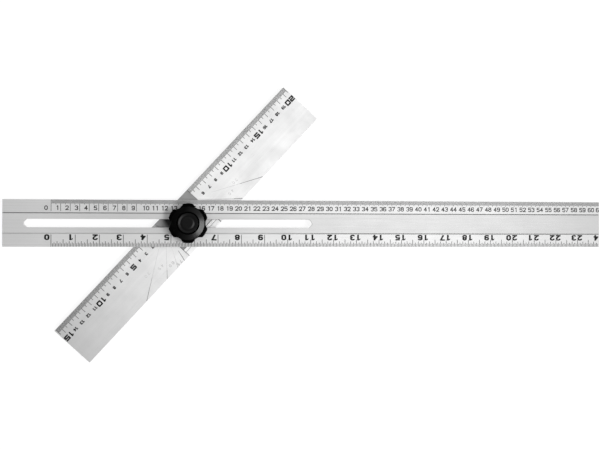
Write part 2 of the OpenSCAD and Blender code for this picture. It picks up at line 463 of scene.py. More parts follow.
def black_plastic(name, tone, gloss, rub, coat_off_lamp_side, roughness, polished_from, depth):
    material, shader, local = new_material(name, clamp_frame, Specular_IOR_Level=0.01,
                                           Coat_Roughness=roughness)
    axes = xyz(local)
    radius = vector_maths("LENGTH", combine(axes["X"], axes["Y"]), output="Value")
    marks = placed_group(handling_tree, Vector=local, Density=0.9)
    grain = noise(local, 9.0, 2.0, 0.6)
    up = xyz(node(shader.id_data, "ShaderNodeNewGeometry")["Normal"])["Z"]
    specks = remap(noise(local, 2.6, 6.0, 0.75), 0.56, 0.72)
    dust = times(specks, remap(up, 0.55, 1.0))
    polish = remap(radius, polished_from, polished_from + 1.5)
    colour = layers(tone, (dust, 0.008, 0.30), (marks["Scratch"], 0.06, 0.12))
    rough = plus(times(grain, 0.12), times(polish, -0.10), times(dust, 0.2), roughness - 0.06)
    # painted highlight: the coat is strong on the side of the dome that faces the soft box
    toward_key_box = plus(axes["X"], times(axes["Y"], -0.4))
    coat = times(fall(up, *LEVEL_SKIN), remap(grain, 0.35, 0.62, 0.6 * rub, rub),
                 fall(radius, *DOME_RIM), remap(toward_key_box, *KEY_BOX_SIDE, coat_off_lamp_side, 1.0))
    wire(shader, grain, depth, 0.6, Base_Color=colour, Roughness=rough,
         Coat_Weight=maths("MAXIMUM", coat, gloss))
    return material


knob_plastic = black_plastic("knob_plastic", tone=0.0005, gloss=0.0, rub=0.75, coat_off_lamp_side=0.12,
                             roughness=0.25, polished_from=20.5, depth=0.03)
cap_plastic = black_plastic("cap_plastic", tone=0.0045, gloss=0.12, rub=0.3, coat_off_lamp_side=0.8,
                            roughness=0.30, polished_from=30.0, depth=0.015)

# %% [markdown]
# The bolt and its washer are zinc plated steel: bluish, with a faint crystal pattern. The second
# washer is nylon, which lets a little light in. The insert is turned brass.

# %% Materials: steel, nylon and brass
def zinc_steel(name, place):
    material, shader, local = new_material(name, place, Metallic=1.0)
    cells = node(shader.id_data, "ShaderNodeTexVoronoi", {"Vector": local, "Scale": 1.4})
    cell = xyz(cells["Color"])["X"]
    marks = placed_group(handling_tree, Vector=local, Density=1.0)
    colour = layers(blend(cell, (0.52, 0.53, 0.55), (0.64, 0.65, 0.66)),
                    (marks["Smudge"], 0.3, 0.38))
    wire(shader, noise(local, 3.0, 4.0), 0.01, Base_Color=colour,
         Roughness=plus(times(cell, 0.10), 0.28))
    return material


def nylon():
    material, shader, local = new_material("nylon", clamp_frame, Subsurface_Weight=0.15,
                                           Subsurface_Scale=0.001)
    cloudy = remap(noise(local, 0.8, 4.0), 0.3, 0.7)
    wire(shader, noise(local, 5.0, 3.0), 0.01,
         Base_Color=blend(cloudy, (0.74, 0.73, 0.69), (0.84, 0.83, 0.80)),
         Roughness=remap(cloudy, 0.0, 1.0, 0.38, 0.50))
    return material


def turned_brass():
    material, shader, local = new_material("turned_brass", clamp_frame, Metallic=1.0)
    rings = remap(noise(xyz(local)["Z"], 6.0, 3.0), 0.3, 0.7)
    wire(shader, rings, 0.01, Base_Color=blend(rings, (0.68, 0.47, 0.20), (0.80, 0.60, 0.30)),
         Roughness=remap(rings, 0.0, 1.0, 0.22, 0.34))
    return material


bolt_zinc = zinc_steel("bolt_zinc", head_frame)
washer_zinc = zinc_steel("washer_zinc", clamp_frame)
washer_nylon = nylon()
insert_brass = turned_brass()
print("materials:", len(bpy.data.materials))

# %% [markdown]
# Every piece ends the same way. Its doubles are merged, its faces are turned outwards, its edges
# are broken by a small bevel if it needs one, and weighted normals keep its flats flat under
# smooth shading. The evaluated result becomes a plain mesh, which is then put in its frame.

# %% Helpers for pieces
BEVEL_OVER = math.radians(35)
SHARP_OVER = math.radians(50)


def baked(draft):
    """A draft's mesh after its modifiers. The draft itself is thrown away."""
    graph = bpy.context.evaluated_depsgraph_get()
    mesh = bpy.data.meshes.new_from_object(draft.evaluated_get(graph),
                                           preserve_all_data_layers=True, depsgraph=graph)
    bpy.data.objects.remove(draft)
    return mesh


def linked(name, data):
    piece = bpy.data.objects.new(name, data)
    bpy.context.scene.collection.objects.link(piece)
    return piece


def finished(name, shape, place, material, body, cad_node=None, rounding=0.0, smooth=True):
    """The finished piece from a bmesh in millimetres: bevelled, placed, painted and riding."""
    bmesh.ops.remove_doubles(shape, verts=shape.verts, dist=0.0005)
    bmesh.ops.recalc_face_normals(shape, faces=shape.faces)
    draft = linked(name + ".draft", bpy.data.meshes.new(name))
    shape.to_mesh(draft.data)
    shape.free()
    if rounding:
        adjust(draft.modifiers.new("broken_edges", "BEVEL"), width=rounding, segments=2,
               limit_method="ANGLE", angle_limit=BEVEL_OVER, use_clamp_overlap=False)
    if smooth:
        draft.data.shade_smooth()
        draft.data.set_sharp_from_angle(angle=SHARP_OVER)
        adjust(draft.modifiers.new("flat_flats", "WEIGHTED_NORMAL"), keep_sharp=True)
    mesh = baked(draft)
    mesh.transform(place)
    mesh.materials.clear()
    mesh.materials.append(material)
    piece = linked(name, mesh)
    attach(piece, body)
    if cad_node:
        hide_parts(cad_node)
    print(f"{name}: {len(mesh.polygons)} faces")


# %% [markdown]
# The rule and the head have the right shape already, but a CAD edge is a perfect corner, and
# that is what gives a render away. So each is copied, its loose triangles are merged into whole
# faces, and its edges are broken by a tenth of a millimetre or two, as a deburring tool does.
# Parts that slide on each other are kept a hairline apart, so ink never cuts into metal.

# %% Rule and head
RULE_EDGE = 0.15
HEAD_EDGE = 0.20
HAIRLINE = 0.03


def cad_copy(name, place):
    """A node's mesh as a bmesh in its own frame, with whole faces instead of triangles."""
    shape = bmesh.new()
    shape.from_mesh(frame["nodes"][name].data)
    shape.transform(place.inverted())
    bmesh.ops.remove_doubles(shape, verts=shape.verts, dist=0.001)
    bmesh.ops.dissolve_limit(shape, angle_limit=math.radians(1), verts=shape.verts,
                             edges=shape.edges)
    return shape


rule_shape = cad_copy("rule", rule_frame)
underside = [vertex for vertex in rule_shape.verts if vertex.co.z < CLOSE]
bmesh.ops.translate(rule_shape, verts=underside, vec=(0, 0, HAIRLINE))
finished("rule_blade", rule_shape, rule_frame, rule_metal, "rule", "rule",
         rounding=RULE_EDGE)
finished("head_stock", cad_copy("head", head_frame), head_frame, head_metal, "head",
         "head", rounding=HEAD_EDGE)

# %% [markdown]
# The ticks are the same short bar hundreds of times over, at an even spacing, with a length that
# depends on the count: that is work for Geometry Nodes. One tree serves all four rows. It makes
# a line of points, stands a bar on each, and picks the bar's length by the index's divisors.

# %% Geometry nodes: a row of ticks
LEVELS = (1, 2, 3)
tick_inputs = {"Count": "Int", "First": "Int", "Spacing": "Float", "Width": "Float",
               "Thickness": "Float", "Length 0": "Float", "Number Step": "Int",
               "Full Until": "Int", "Full Length": "Float", "Ink": "Material"}
for level in LEVELS:
    tick_inputs.update({f"Step {level}": "Int", f"Length {level}": "Float"})
tick_tree, given, result = group_tree("tick_row", "GeometryNodeTree", tick_inputs,
                                      {"Geometry": "Geometry"})
tick_tree.is_modifier = True
number = plus(node(tick_tree, "GeometryNodeInputIndex")[0], given["First"])


def divides(step):
    return maths("LESS_THAN", maths("MODULO", number, step), 0.5)


def choose(condition, otherwise, then):
    return node(tick_tree, "GeometryNodeSwitch", {0: condition, 1: otherwise, 2: then},
                input_type="FLOAT")[0]


length = given["Length 0"]
for level in LEVELS:
    length = choose(divides(given[f"Step {level}"]), length, given[f"Length {level}"])
early = maths("LESS_THAN", number, given["Full Until"])
length = choose(times(divides(given["Number Step"]), early), length, given["Full Length"])
start = combine(times(given["First"], given["Spacing"]))
line = node(tick_tree, "GeometryNodeMeshLine", {"Count": given["Count"], "Start Location": start,
            "Offset": combine(given["Spacing"])}, mode="OFFSET")[0]
unit_bar = node(tick_tree, "GeometryNodeMeshCube")["Mesh"]
unit_bar = node(tick_tree, "GeometryNodeTransform",
                {"Geometry": unit_bar, "Translation": (0, 0.5, 0)})[0]
bar_size = combine(given["Width"], length, given["Thickness"])
bars = node(tick_tree, "GeometryNodeInstanceOnPoints",
            {"Points": line, "Instance": unit_bar, "Scale": bar_size})[0]
bars = node(tick_tree, "GeometryNodeRealizeInstances", {"Geometry": bars})[0]
bars = node(tick_tree, "GeometryNodeSetMaterial", {"Geometry": bars, "Material": given["Ink"]})[0]
tick_tree.links.new(bars, result["Geometry"])
print("tick inputs:", len(tick_inputs))

# %% [markdown]
# A modifier's input is set by the socket's identifier. Then the evaluated mesh is taken, and the
# carrier with its modifier is thrown away. A row of ticks grows out of an edge: the row on the
# far edge is turned half round, and its spacing is negative, so that it still counts to the right.

# %% Print the rows of ticks
INK_T = 0.03
TICK_W = 0.48
INCH_TICK_W = 0.58
EDGE_GAP = 0.2
NEVER = 1000000
half_turn = Matrix.Rotation(math.pi, 4, "Z")


def tick_row(name, place, body, material, **inputs):
    """One row of ticks, printed on a body. A step that isn't given never comes."""
    carrier = linked(name + ".draft", bpy.data.meshes.new(name))
    modifier = adjust(carrier.modifiers.new("ticks", "NODES"), node_group=tick_tree)
    wanted = {f"Step {level}": NEVER for level in LEVELS}
    wanted.update({key.replace("_", " "): value for key, value in inputs.items()})
    wanted.update({"Thickness": INK_T, "Ink": material})
    for socket in tick_tree.interface.items_tree:
        if socket.in_out == "INPUT" and socket.name in wanted:
            modifier[socket.identifier] = wanted[socket.name]
    mesh = baked(carrier)
    mesh.transform(place)
    piece = linked(name, mesh)
    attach(piece, body)
    print(f"{name}: {inputs['Count']} ticks")


def on_rule(x, y):
    """A place on the rule's top face."""
    return Matrix.Translation((x, y, rule_high.z))


INCH = 25.4
cm_edge = on_rule(0, rule_high.y - EDGE_GAP) @ half_turn
inch_edge = on_rule(0, rule_low.y + EDGE_GAP)
tick_row("cm_ticks", rule_frame @ cm_edge, "rule", rule_ink, Count=int(rule_high.x) + 1,
         Spacing=-1.0, Width=TICK_W, Length_0=4.2, Step_1=5, Length_1=5.2, Step_2=10, Length_2=5.4,
         Number_Step=10, Full_Until=100, Full_Length=12.4)
tick_row("inch_ticks", rule_frame @ inch_edge, "rule", rule_ink,
         Count=int(rule_high.x / INCH * 16 - 0.5) + 1, Spacing=INCH / 16, Width=INCH_TICK_W,
         Length_0=3.4, Step_1=2, Length_1=4.4, Step_2=4, Length_2=5.8, Step_3=8, Length_3=7.8,
         Number_Step=16, Full_Until=160, Full_Length=13.0)

HEAD_ZERO = -25.2
HEAD_LEFT_CM = 15
HEAD_RIGHT_CM = 20
fence_edge = Matrix.Translation((HEAD_ZERO, head_high.y - EDGE_GAP, 0)) @ half_turn
first_right = math.ceil(SEAT_HALF - HEAD_ZERO)
head_ticks = {"Width": 0.52, "Length_0": 4.9, "Step_1": 5, "Length_1": 7.4, "Step_2": 10,
              "Length_2": 9.9}
tick_row("head_ticks_left", head_frame @ fence_edge, "head", head_ink,
         Count=int(HEAD_ZERO - head_low.x) - 1, First=1, Spacing=1.0, **head_ticks)
tick_row("head_ticks_right", head_frame @ fence_edge, "head", head_ink,
         Count=int(head_high.x - HEAD_ZERO) - first_right, First=first_right, Spacing=-1.0,
         **head_ticks)

# %% [markdown]
# A numeral is a pen stroke: a path through a few corners, some of them rounded, with a width. So
# each digit is written down as its paths in a box from 0 to 1, and the same ten digits serve
# every scale, thin or bold, narrow or wide. A ribbon turns a path into an outline, and a closed
# path, like that of the 0, into two.

# %% Digit shapes
ROUND_0 = 1.6
DIGIT_PATHS = {
    "0": [[(0, 0, ROUND_0), (1, 0, ROUND_0), (1, 1, ROUND_0), (0, 1, ROUND_0), "ring"]],
    "2": [[(0, 0.7, 0), (0, 1, 1), (1, 1, 1), (1, 0.56, 0.8), (0.16, 0.06, 0)], [(0, 0, 1), (1, 0, 1)]],
    "3": [[(0, 0.8, 0), (0, 1, 1), (1, 1, 1), (1, 0.52, 1), (0.4, 0.52, 0)],
          [(0.4, 0.52, 0), (1, 0.52, 1), (1, 0, 1), (0, 0, 1), (0, 0.2, 0)]],
    "4": [[(0.72, 0, 1), (0.72, 1, 1)], [(0.72, 0.98, 0), (0, 0.3, 0)], [(0, 0.3, 1), (1, 0.3, 1)]],
    "5": [[(0.92, 1, 1), (0.08, 1, 0), (0, 0.57, 0), (1, 0.57, 1), (1, 0, 1), (0, 0, 1), (0, 0.2, 0)]],
    "6": [[(0, 0, 1), (1, 0, 1), (1, 0.56, 1), (0, 0.56, 1), "ring"],
          [(0, 0.26, 0), (0, 1, 1), (1, 1, 1), (1, 0.79, 0)]],
    "7": [[(0, 1, 1), (1, 1, 1)], [(1, 1, 0), (0.3, 0, 1)]],
    "8": [[(0, 0, 1), (1, 0, 1), (1, 0.54, 1), (0, 0.54, 1), "ring"],
          [(0.06, 0.54, 1), (0.94, 0.54, 1), (0.94, 1, 1), (0.06, 1, 1), "ring"]]}
DIGIT_PATHS["9"] = [[point if point == "ring" else (1 - point[0], 1 - point[1], point[2])
                     for point in line] for line in DIGIT_PATHS["6"]]


def rounded(corners, closed=True, steps=4):
    """Replaces each corner (x, y, radius) by an arc of that radius, or less on short sides."""
    points = []
    for k, (x, y, radius) in enumerate(corners):
        here = Vector((x, y))
        if not radius or (not closed and k in (0, len(corners) - 1)):
            points.append(here)
            continue
        before, after = corners[k - 1], corners[(k + 1) % len(corners)]
        back, ahead = Vector(before[:2]) - here, Vector(after[:2]) - here
        half = back.angle(ahead) / 2
        room = min(back.length * (0.49 if before[2] else 0.98),
                   ahead.length * (0.49 if after[2] else 0.98))
        reach = min(radius / math.tan(half), room)
        back.normalize()
        ahead.normalize()
        centre = here + (back + ahead).normalized() * reach / math.cos(half)
        first = here + back * reach - centre
        turn = first.angle_signed(here + ahead * reach - centre)
        for step in range(steps + 1):
            points.append(centre + Matrix.Rotation(-turn * step / steps, 2) @ first)
    return points


def ribbon(path, stroke, ring, ends=(0, 0)):
    """The outline of a stroke along a path. Each end may reach half a stroke further."""
    left, right = [], []
    last = len(path) - 1
    for k, here in enumerate(path):
        back = (here - path[k - 1]).normalized()
        ahead = (path[(k + 1) % len(path)] - here).normalized()
        if not ring and k == 0:
            here, back = here - ahead * ends[0] * stroke / 2, ahead
        if not ring and k == last:
            here, ahead = here + back * ends[1] * stroke / 2, back
        along = (back + ahead).normalized()
        aside = Vector((-along.y, along.x)) * stroke / 2 / along.dot(ahead)
        left.append(here + aside)
        right.append(here - aside)
    return [left, right] if ring else [left + right[::-1]]


def welded(mesh):
    """Joins the loose walls and lids of a mesh to one closed skin."""
    shape = bmesh.new()
    shape.from_mesh(mesh)
    bmesh.ops.remove_doubles(shape, verts=shape.verts, dist=0.0001)
    bmesh.ops.recalc_face_normals(shape, faces=shape.faces)
    shape.to_mesh(mesh)
    shape.free()
    return mesh


def flat_outline(loops):
    """A thin closed shape with these outlines."""
    curve = adjust(bpy.data.curves.new("outline", "CURVE"), dimensions="2D", fill_mode="BOTH",
                   extrude=INK_T / 2)
    for loop in loops:
        spline = curve.splines.new("POLY")
        spline.points.add(len(loop) - 1)
        for point, place in zip(spline.points, loop):
            point.co = (*place, 0, 1)
        spline.use_cyclic_u = True
    return welded(baked(linked("outline.draft", curve)))


def digit_one(height, stroke):
    """A 1 with a flag that still shows when it is small."""
    foot = 0.6 * stroke + 0.06 * height
    top = 0.84 * height
    return [(foot, 0), (foot + stroke, 0), (foot + stroke, height), (foot, height),
            (0, top), (0, top - 0.9 * stroke), (foot, top - 0.25 * stroke)]


def united(meshes):
    """One closed shape out of the strokes of a digit, so no stroke lies inside another."""
    drafts = [linked("stroke.draft", mesh) for mesh in meshes]
    for other in drafts[1:]:
        adjust(drafts[0].modifiers.new("join", "BOOLEAN"), operation="UNION", solver="EXACT",
               object=other)
    mesh = baked(drafts[0])
    for draft in drafts[1:]:
        bpy.data.objects.remove(draft)
    return mesh


def centred(mesh, swell=1.0):
    """The mesh moved so that it is centred on x = 0 and stands on y = 0."""
    xs, ys = ([vertex.co[k] for vertex in mesh.vertices] for k in (0, 1))
    mesh.transform(Matrix.Translation((-(min(xs) + max(xs)) / 2, -min(ys), 0)))
    mesh.transform(Matrix.Scale(swell, 4, (1, 0, 0)))
    return mesh


def digit_set(height, width, stroke, swell=1.0):
    """Ten digit meshes of one height. Swell makes the uprights thicker than the level strokes."""
    wide, tall = width / swell - stroke, height - stroke
    radius = min(0.24 * tall, 0.49 * wide)
    digits = {"1": centred(flat_outline([digit_one(height, stroke)]), swell)}
    for digit, lines in DIGIT_PATHS.items():
        meshes = []
        for line in lines:
            ring = line[-1] == "ring"
            corners = line[:-1] if ring else line
            path = rounded([(x * wide, y * tall, k * radius) for x, y, k in corners], ring)
            outline = ribbon(path, stroke, ring, (corners[0][2], corners[-1][2]))
            meshes.append(flat_outline(outline))
        digits[digit] = centred(united(meshes), swell)
    print(f"digits {height} mm high: {sum(len(m.polygons) for m in digits.values())} faces")
    return digits


def add_numeral(shape, digits, text, advance, place):
    """Puts the digits of a number side by side, with the number's middle on the place."""
    for k, digit in enumerate(text):
        before = len(shape.verts)
        shape.from_mesh(digits[digit])
        shape.verts.ensure_lookup_table()
        step = Matrix.Translation(((k - (len(text) - 1) / 2) * advance, 0, 0))
        bmesh.ops.transform(shape, matrix=place @ step, verts=shape.verts[before:])


# %% [markdown]
# On the rule, a single digit stands beside its tick, on the side of the 0, and a number of two
# digits straddles its tick. The centimetre numerals are thin and stand upright. The inch
# numerals are bold and upside down, because that edge is read from the other side.

# %% Rule numerals
CM_DIGIT_AT = 3.4
CM_ZERO_AT = 5.3
CM_CUT_AT = 2.3
CM_ADVANCE = 3.9
CM_ROW = 9.0
CM_H = 4.9
INCH_DIGIT_AT = 4.4
INCH_PAIR_AT = 0.8
INCH_CUT_AT = 3.6
INCH_ADVANCE = 7.0
INCH_ROW = 10.25
INCH_H = 6.3
cm_digits = digit_set(height=CM_H, width=3.6, stroke=0.88)
inch_digits = digit_set(height=INCH_H, width=5.6, stroke=1.55, swell=1.3)

shape = bmesh.new()
row_y = rule_high.y - CM_ROW - CM_H / 2
last_cm = int(rule_high.x / 10)
for cm in range(last_cm + 1):
    beside = 0.0 if cm > 9 else CM_DIGIT_AT if cm else CM_ZERO_AT
    add_numeral(shape, cm_digits, str(cm), CM_ADVANCE, on_rule(10 * cm - beside, row_y))
add_numeral(shape, cm_digits, str(last_cm + 1)[0], CM_ADVANCE,
            on_rule(10 * (last_cm + 1) - CM_CUT_AT, row_y))
finished("cm_numerals", shape, rule_frame, rule_ink, "rule", smooth=False)

shape = bmesh.new()
row_y = rule_low.y + INCH_ROW + INCH_H / 2
last_inch = round(rule_high.x / INCH) - 1
for inches in range(last_inch + 1):
    beside = INCH_PAIR_AT if inches > 9 else INCH_DIGIT_AT
    add_numeral(shape, inch_digits, str(inches), INCH_ADVANCE,
                on_rule(INCH * inches - beside, row_y) @ half_turn)
add_numeral(shape, inch_digits, str(last_inch + 1)[1], INCH_ADVANCE,
            on_rule(INCH * (last_inch + 1) - INCH_CUT_AT, row_y) @ half_turn)
finished("inch_numerals", shape, rule_frame, rule_ink, "rule", smooth=False)

# %% [markdown]
# The head's big numerals have square shoulders, like stencil letters, with round corners outside
# and nearly sharp ones inside. So they are drawn as outlines: the 2 turns at right angles, the 5
# is its mirror image, and the 0 is a frame. Each corner is given with its own radius.

# %% Square-shouldered digits
def square_digits(w, h, t):
    """The digits 0, 1, 2 and 5, of this width, height and stroke."""
    low, high, soft, tight = (h - t) / 2, (h + t) / 2, 0.9, 0.3
    two = [(0, 0, tight), (w, 0, tight), (w, t, tight), (t, t, tight), (t, low, tight),
           (w, low, soft), (w, h, soft), (0, h, tight), (0, h - t, tight),
           (w - t, h - t, tight), (w - t, high, tight), (0, high, soft)]
    five = [(w - x, y, radius) for x, y, radius in reversed(two)]
    frame_out = [(0, 0, soft), (w, 0, soft), (w, h, soft), (0, h, soft)]
    frame_in = [(t, t, tight), (w - t, t, tight), (w - t, h - t, tight), (t, h - t, tight)]
    one = [(x, y, tight) for x, y in digit_one(h, t)]
    outlines = {"0": [frame_out, frame_in], "1": [one], "2": [two], "5": [five]}
    return {digit: centred(flat_outline([rounded(loop) for loop in loops]))
            for digit, loops in outlines.items()}


# %% [markdown]
# The head is read from its back edge, so its numerals are upside down too, in one row along the
# fence. Every fifth is big and square, and the others are small and bold. None is printed in the
# seat, where the rule would rub it off.

# %% Head numerals
NUMERAL_ROW = 15.3
BIG_H = 5.9
SMALL_H = 3.6
BIG_ADVANCE = 6.3
SMALL_ADVANCE = 2.7
SEAT_MARGIN = 3.0
big_digits = square_digits(w=5.8, h=BIG_H, t=1.6)
small_digits = digit_set(height=SMALL_H, width=2.9, stroke=0.9, swell=1.2)

big_print = (bmesh.new(), big_digits, BIG_H, BIG_ADVANCE)
small_print = (bmesh.new(), small_digits, SMALL_H, SMALL_ADVANCE)
for side, last in ((-1, HEAD_LEFT_CM), (1, HEAD_RIGHT_CM)):
    for cm in range(1, last + 1):
        x = HEAD_ZERO + side * cm * 10
        if abs(x) < SEAT_HALF + SEAT_MARGIN:
            continue
        shape, digits, high, advance = big_print if cm % 5 == 0 else small_print
        row = Matrix.Translation((x, head_high.y - NUMERAL_ROW + high / 2, 0))
        add_numeral(shape, digits, str(cm), advance, row @ half_turn)
finished("head_numerals_big", big_print[0], head_frame, head_ink, "head", smooth=False)
finished("head_numerals_small", small_print[0], head_frame, head_ink, "head", smooth=False)

# %% [markdown]
# The head is also a protractor. Each engraved line shows where the rule's edge lies at one
# angle, so it touches the circle round the pivot that has half the rule's width as its radius.
# The lines run in from the back edge. The rule has rubbed their inner parts thin. The degrees
# stand on the outer side of their line, spaced wide and level with the head's own scale.

# %% Angle lines and degrees
LINE_WIDTHS = {30: (0.50, 0.60), 45: (0.45, 0.70), 60: (0.22, 0.30), 75: (0.65, 0.65)}
LINE_ENDS = {30: 5.0, 45: 5.0, 60: 0.0, 75: -12.0}
RUBBED_FROM = {30: -11.0, 45: -17.5, 60: -13.5}
RUBBED_SHARE = 0.4
DEGREES_X = {30: (-71.3, 68.2), 45: (-55.4, 56.4), 60: (-45.2, 45.2), 75: (-38.3, 38.3)}
DEGREES_Y = {30: -3.7, 45: -8.6, 60: -15.0, 75: -20.3}
DEGREES_ADVANCE = 4.5
tiny_digits = digit_set(height=3.2, width=2.4, stroke=0.5)


def add_bar(shape, start, end, width, thickness):
    """A thin straight bar between two points, half sunk in the plane z = 0."""
    along = end - start
    middle = Matrix.Translation(((start + end) / 2).to_3d())
    turn = Matrix.Rotation(math.atan2(along.y, along.x), 4, "Z")
    size = Matrix.Diagonal((along.length, width, thickness, 1))
    bmesh.ops.create_cube(shape, size=1, matrix=middle @ turn @ size)


lines = bmesh.new()
degrees = bmesh.new()
for angle, widths in LINE_WIDTHS.items():
    for side, width, degrees_x in zip((-1, 1), widths, DEGREES_X[angle]):
        slope = math.radians(angle)
        along = Vector((-side * math.cos(slope), math.sin(slope)))
        touch = Vector((side * math.sin(slope), math.cos(slope))) * rule_w / 2
        stops = [head_low.y + EDGE_GAP, RUBBED_FROM.get(angle, LINE_ENDS[angle]), LINE_ENDS[angle]]
        ends = [touch + along * (y - touch.y) / along.y for y in stops]
        add_bar(lines, ends[0], ends[1], width, INK_T)
        if angle in RUBBED_FROM:
            add_bar(lines, ends[1], ends[2], width * RUBBED_SHARE, INK_T)
        spot = Matrix.Translation((degrees_x, DEGREES_Y[angle], 0))
        add_numeral(degrees, tiny_digits, str(angle), DEGREES_ADVANCE, spot @ half_turn)
finished("angle_lines", lines, head_frame, line_engraving, "head", smooth=False)
finished("angle_degrees", degrees, head_frame, faint_engraving, "head", smooth=False)

# %% [markdown]
# The clamp pieces are all turned or moulded round one axis, so one lathe makes them: it turns an
# outline of radius and height about that axis. An optional rule may change the radius at each
# angle and height. That is enough for lobes, for a square neck, for a knurl and for real thread.

# %% Lathe
def lathe(outline, sides=96, radius_at=None):
    """A closed turned shape. Points on the axis become poles."""
    shape = bmesh.new()
    rings = []
    for radius, height in outline:
        if radius < 1e-6:
            rings.append([shape.verts.new((0, 0, height))])
            continue
        ring = []
        for k in range(sides):
            angle = 2 * math.pi * k / sides
            reach = radius_at(radius, angle, height) if radius_at else radius
            ring.append(shape.verts.new((reach * math.cos(angle), reach * math.sin(angle), height)))
        rings.append(ring)
    for low, high in zip(rings, rings[1:] + rings[:1]):
        for k in range(sides):
            corners = [low[k % len(low)], low[(k + 1) % len(low)], high[(k + 1) % len(high)],
                       high[k % len(high)]]
            corners = list(dict.fromkeys(corners))
            if len(corners) > 2:
                shape.faces.new(corners)
    return shape


def washer_outline(name, bore, edges):
    """A ring as big as its node, with the bore given and its four corners rounded."""
    low, high = local_box(name, clamp_frame)
    bottom, top = low.z + HAIRLINE, high.z - HAIRLINE
    return rounded([(bore, bottom, edges[0]), (high.x, bottom, edges[1]),
                    (high.x, top, edges[2]), (bore, top, edges[3])])


# %% [markdown]
# A washer is punched out of a strip. The punch rounds the edge that it enters by and leaves a
# sharp one behind it. So the steel washer has a round upper rim and a crisp lower one.

# %% Washers
BOLT_R = 4.0
BORE_R = 4.2
finished("plain_washer", lathe(washer_outline("flat_washer", BORE_R, (0.1, 0.12, 0.45, 0.3))),
         clamp_frame, washer_zinc, "slot_washer", "flat_washer")
finished("slip_washer", lathe(washer_outline("thrust_washer", BORE_R, (0.15, 0.15, 0.2, 0.2))),
         clamp_frame, washer_nylon, "knob_washer", "thrust_washer")

# %% [markdown]
# The bolt is a carriage bolt: a low dome, a square neck that keys it in the head, and an M8
# thread. The thread is real. Its radius swings between crest and root once in every pitch of
# height, and the swing shifts by one pitch in each turn, which is what a helix is.

# %% Carriage bolt
PITCH = 1.25
THREAD_DEPTH = 0.68
THREAD_STEPS = 8
THREAD_FLAT = 0.12
THREAD_SLOPE = 0.72
NECK_TOP = -1.4
NECK_CORNER = 1.1
DOME_EDGE_Z = -4.6
NECK_FOOT = -4.0
bolt_low, bolt_high = local_box("clamp_bolt", head_frame)


def thread_swing(angle, height):
    """0 on the crest of the thread and 1 at its root, with a small flat on both."""
    turns = height / PITCH - angle / (2 * math.pi)
    wave = abs(2 * (turns - math.floor(turns)) - 1)
    return min(1.0, max(0.0, (wave - THREAD_FLAT) / THREAD_SLOPE))


def bolt_radius(radius, angle, height):
    """Square in the neck, threaded on the shank, round on the head."""
    if radius > BOLT_R + CLOSE:
        return radius
    if height <= NECK_TOP + CLOSE:
        square = BOLT_R / max(abs(math.cos(angle)), abs(math.sin(angle)))
        return min(square, BOLT_R + NECK_CORNER) * radius / BOLT_R
    end = min(bolt_high.z - height, height - NECK_TOP)
    crest = BOLT_R - max(0.0, 1.0 - end)
    return min(crest, BOLT_R - THREAD_DEPTH * thread_swing(angle, height)) * radius / BOLT_R


def thread_heights(low, high):
    count = round((high - low) / PITCH * THREAD_STEPS)
    return [low + (high - low) * k / count for k in range(count + 1)]


dome = [(bolt_high.x * math.cos(a), DOME_EDGE_Z + (bolt_low.z - DOME_EDGE_Z) * math.sin(a))
        for a in (math.radians(5 * k) for k in range(17, -1, -1))]
outline = [(0, bolt_low.z), *dome]
outline += rounded([(bolt_high.x, DOME_EDGE_Z, 0), (bolt_high.x, NECK_FOOT, 0.25),
                    (BOLT_R, NECK_FOOT, 0)], closed=False)[1:]
outline += [(BOLT_R, NECK_TOP - 0.1), (BOLT_R, NECK_TOP)]
outline += [(BOLT_R, z) for z in thread_heights(NECK_TOP + 0.02, bolt_high.z)]
outline += [(0, bolt_high.z)]
finished("carriage_bolt", lathe(outline, 96, bolt_radius), head_frame, bolt_zinc, "head",
         "clamp_bolt")

# %% [markdown]
# The insert is a brass sleeve that is pressed into the knob. Its outside has a diamond knurl, so
# that it can't turn in the plastic, and its bore has the bolt's thread, cut a little larger. Both
# are radius rules again, one for each wall.

# %% Threaded insert
KNURLS = 32
KNURL_DEPTH = 0.22
KNURL_LEAN = 0.9
KNURL_RINGS = 29
KNURL_STEP = 0.35
CHAMFER = 0.4
RUN_OUT = 0.6
BORE_SHARE = 0.7
THREAD_CLEAR = 0.05
insert_low, insert_high = local_box("knob_insert", clamp_frame)


def insert_radius(radius, angle, height):
    """Knurled outside, threaded inside."""
    if radius > BORE_R + 0.5:
        lean = (height - insert_low.z) * KNURL_LEAN
        waves = [abs(math.sin(KNURLS / 2 * angle + way * lean)) for way in (-1, 1)]
        return radius - KNURL_DEPTH * (1 - max(waves)) * (radius > insert_high.x - 0.05)
    end = min(insert_high.z - height, height - insert_low.z, RUN_OUT) / RUN_OUT
    return radius - THREAD_DEPTH * (1 - thread_swing(angle, height)) * end * BORE_SHARE


bore = BOLT_R + THREAD_CLEAR + THREAD_DEPTH * 0.2
outer = [(insert_high.x, insert_low.z + RUN_OUT + k * KNURL_STEP) for k in range(KNURL_RINGS)]
inner = [(bore, z) for z in reversed(thread_heights(insert_low.z, insert_high.z))]
shoulder = insert_high.x - CHAMFER
outline = [(shoulder, insert_low.z), *outer, (shoulder, insert_high.z), *inner]
finished("brass_insert", lathe(outline, 192, insert_radius), clamp_frame, insert_brass, "knob",
         "knob_insert")

# %% [markdown]
# The knob is one moulding. Its outline runs from the pocket for the cap, over the low dome,
# down the lobes and the boss, and back up the hole. Six round hollows are cut into it. A sharp
# cut would look machined, so the hollow and the outline are blended: near their meeting the
# radius is a little less than both, which rounds every corner the way a mould does.

